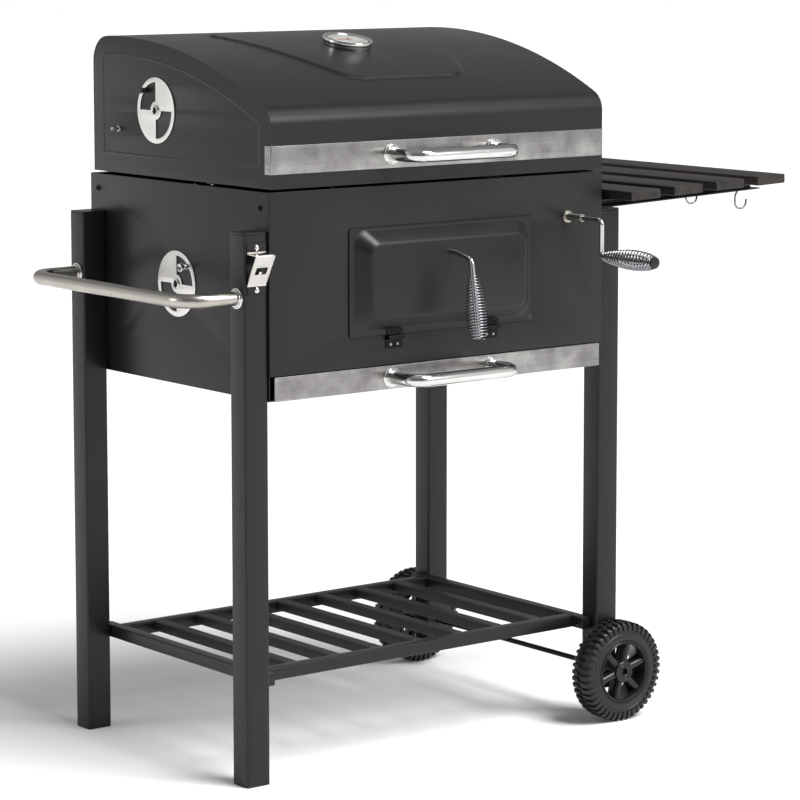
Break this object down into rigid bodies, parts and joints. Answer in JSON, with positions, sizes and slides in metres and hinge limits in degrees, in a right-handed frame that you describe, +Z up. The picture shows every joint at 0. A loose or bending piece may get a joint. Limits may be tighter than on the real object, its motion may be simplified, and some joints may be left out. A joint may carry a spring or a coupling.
{
  "type": "charcoal grill trolley",
  "caption": "Charcoal grill trolley with a hinged lid, drop-down fire door, ash drawer, cranked charcoal tray, lower shelf, wheels and a slatted side table.",
  "frame": {"origin": "on the floor under the centre of the whole outline, from the push handle to the table's end", "axes": "+X towards the side table, -Y the front with the fire door and drawer, +Z up"},
  "size_m": [1.065, 0.68, 1.0266],
  "materials": {
    "powder_coat": "satin powder coat",
    "shelf_paint": "satin powder coat",
    "brushed_stainless": "brushed",
    "polished_stainless": "polished",
    "chrome_plate": "bright plate",
    "zinc_fasteners": "zinc plated",
    "black_hinge": "black zinc",
    "black_enamel": "gloss enamel",
    "black_plastic": "moulded",
    "tyre_rubber": "moulded tread",
    "stained_wood": "dark stained",
    "needle_red": "painted"
  },
  "bodies": {
    "cart": {"leg_front_left": "powder_coat", "leg_rear_left": "powder_coat", "leg_front_right": "powder_coat", "leg_rear_right": "powder_coat", "leg_caps": "black_plastic", "shelf_frame": "powder_coat", "shelf_slats": "shelf_paint", "wheel_axle": "black_hinge", "firebox_front": "powder_coat", "firebox_rear": "powder_coat", "firebox_left": "powder_coat", "firebox_right": "powder_coat", "drawer_rails": "powder_coat", "grate_ledges": "powder_coat", "lift_guides": "powder_coat", "crank_bushing": "chrome_plate", "hinge_plates": "black_hinge", "hinge_pins": "black_hinge", "push_handle": "polished_stainless", "push_handle_flanges": "polished_stainless", "bottle_opener": "polished_stainless", "box_fasteners": "zinc_fasteners", "table_brackets": "powder_coat", "table_slats": "stained_wood"},
    "lid": {"lid_shell": "powder_coat", "lid_side_left": "powder_coat", "lid_side_right": "powder_coat", "lid_strip": "brushed_stainless", "lid_handle": "polished_stainless", "lid_handle_flanges": "polished_stainless", "lid_hinge_leaves": "black_hinge", "lid_fasteners": "zinc_fasteners", "thermometer_case": "polished_stainless"},
    "needle": {"thermometer_needle": "needle_red"},
    "door": {"door_panel": "powder_coat", "door_hinge_leaves": "black_hinge"},
    "door_turn": {"door_handle": "chrome_plate", "door_grip": "chrome_plate", "door_latch": "black_hinge"},
    "drawer": {"drawer_pan": "black_enamel", "drawer_front": "brushed_stainless", "drawer_handle": "polished_stainless", "drawer_handle_flanges": "polished_stainless"},
    "charcoal_lift": {"charcoal_tray": "black_enamel", "lift_rack": "black_enamel"},
    "crank": {"crank_rod": "chrome_plate", "crank_grip": "chrome_plate", "crank_cap": "black_plastic"},
    "grate_left": {"cooking_grate_left": "chrome_plate"},
    "grate_right": {"cooking_grate_right": "chrome_plate"},
    "vent_lid_left": {"lid_vent_left": "polished_stainless"},
    "vent_lid_right": {"lid_vent_right": "polished_stainless"},
    "vent_box_left": {"box_vent_left": "polished_stainless"},
    "vent_box_right": {"box_vent_right": "polished_stainless"},
    "wheel_front": {"tyre_front": "tyre_rubber", "hub_front": "black_plastic"},
    "wheel_rear": {"tyre_rear": "tyre_rubber", "hub_rear": "black_plastic"},
    "hook_front": {"hook_front": "chrome_plate"},
    "hook_rear": {"hook_rear": "chrome_plate"}
  },
  "joints": [
    {"name": "lid_hinge", "type": "hinge", "parent": "cart", "child": "lid", "pos_m": [-0.10379, 0.306, 0.83], "axis": [-1, 0, 0], "range_deg": [0, 95]},
    {"name": "door_hinge", "type": "hinge", "parent": "cart", "child": "door", "pos_m": [-0.10379, -0.155, 0.609], "axis": [1, 0, 0], "range_deg": [0, 95]},
    {"name": "door_handle_turn", "type": "hinge", "parent": "door", "child": "door_turn", "pos_m": [-0.10379, -0.17, 0.724], "axis": [0, 1, 0], "range_deg": [0, 95]},
    {"name": "drawer_slide", "type": "slide", "parent": "cart", "child": "drawer", "axis": [0, 1, 0], "range_m": [-0.3, 0]},
    {"name": "charcoal_lift_slide", "type": "slide", "parent": "cart", "child": "charcoal_lift", "axis": [0, 0, 1], "range_m": [0, 0.05]},
    {"name": "crank_turn", "type": "hinge", "parent": "cart", "child": "crank", "pos_m": [0.13021, -0.18, 0.759], "axis": [0, 1, 0], "range_deg": [0, 320]},
    {"name": "grate_left_lift", "type": "slide", "parent": "cart", "child": "grate_left", "axis": [0, 0, 1], "range_m": [0, 0.06]},
    {"name": "grate_right_lift", "type": "slide", "parent": "cart", "child": "grate_right", "axis": [0, 0, 1], "range_m": [0, 0.06]},
    {"name": "lid_vent_left_turn", "type": "hinge", "parent": "lid", "child": "vent_lid_left", "pos_m": [-0.40179, 0.1265, 0.9205], "axis": [1, 0, 0], "range_deg": [0, 90]},
    {"name": "lid_vent_right_turn", "type": "hinge", "parent": "lid", "child": "vent_lid_right", "pos_m": [0.19421, 0.1265, 0.9205], "axis": [-1, 0, 0], "range_deg": [0, 90]},
    {"name": "box_vent_left_turn", "type": "hinge", "parent": "cart", "child": "vent_box_left", "pos_m": [-0.40379, 0.0745, 0.6783], "axis": [1, 0, 0], "range_deg": [0, 90]},
    {"name": "box_vent_right_turn", "type": "hinge", "parent": "cart", "child": "vent_box_right", "pos_m": [0.19621, 0.0745, 0.6783], "axis": [-1, 0, 0], "range_deg": [0, 90]},
    {"name": "thermometer_needle_turn", "type": "hinge", "parent": "lid", "child": "needle", "pos_m": [-0.11879, 0.054, 1.00434], "axis": [0, 0.2108, -0.9775], "range_deg": [0, 270]},
    {"name": "hook_front_swing", "type": "hinge", "parent": "cart", "child": "hook_front", "pos_m": [0.49921, -0.116, 0.782], "axis": [0, 1, 0], "range_deg": [-25, 25]},
    {"name": "hook_rear_swing", "type": "hinge", "parent": "cart", "child": "hook_rear", "pos_m": [0.49921, -0.006, 0.782], "axis": [0, 1, 0], "range_deg": [-25, 25]},
    {"name": "wheel_front_spin", "type": "hinge", "parent": "cart", "child": "wheel_front", "pos_m": [0.21571, -0.168, 0.075], "axis": [0, 1, 0], "continuous": true},
    {"name": "wheel_rear_spin", "type": "hinge", "parent": "cart", "child": "wheel_rear", "pos_m": [0.21571, 0.317, 0.075], "axis": [0, 1, 0], "continuous": true}
  ],
  "couplings": [
    {"joint": "door_handle_turn", "follows": "door_hinge", "ratio": 1},
    {"joint": "crank_turn", "follows": "charcoal_lift_slide", "rad_per_m": 111.11}
  ]
}
